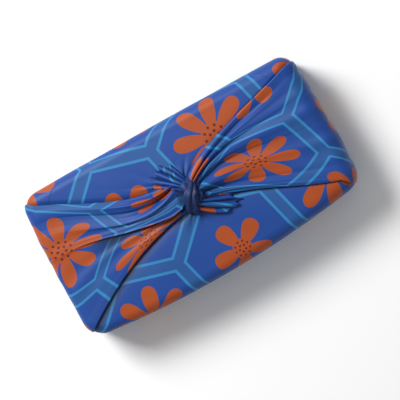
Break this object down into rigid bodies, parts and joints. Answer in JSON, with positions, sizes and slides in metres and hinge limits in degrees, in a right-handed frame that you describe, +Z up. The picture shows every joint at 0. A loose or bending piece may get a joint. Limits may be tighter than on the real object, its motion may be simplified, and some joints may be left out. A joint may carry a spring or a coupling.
{
  "type": "furoshiki wrap",
  "caption": "Square wrapping cloth folded round an oblong box form and tied on top in a square knot, with pleated end flaps and short free ends.",
  "frame": {"origin": "middle of the flat underside, under the middle of the parcel's bounding box", "axes": "+X along the parcel towards the end with the wide pleated flap, +Y towards the straighter long side, +Z up through the knot"},
  "size_m": [0.2625, 0.1373, 0.0686],
  "materials": {
    "printed_cloth": "fine smooth printed cloth, soft satin sheen"
  },
  "bodies": {
    "root": {"wrap_cloth": "printed_cloth"}
  },
  "joints": []
}
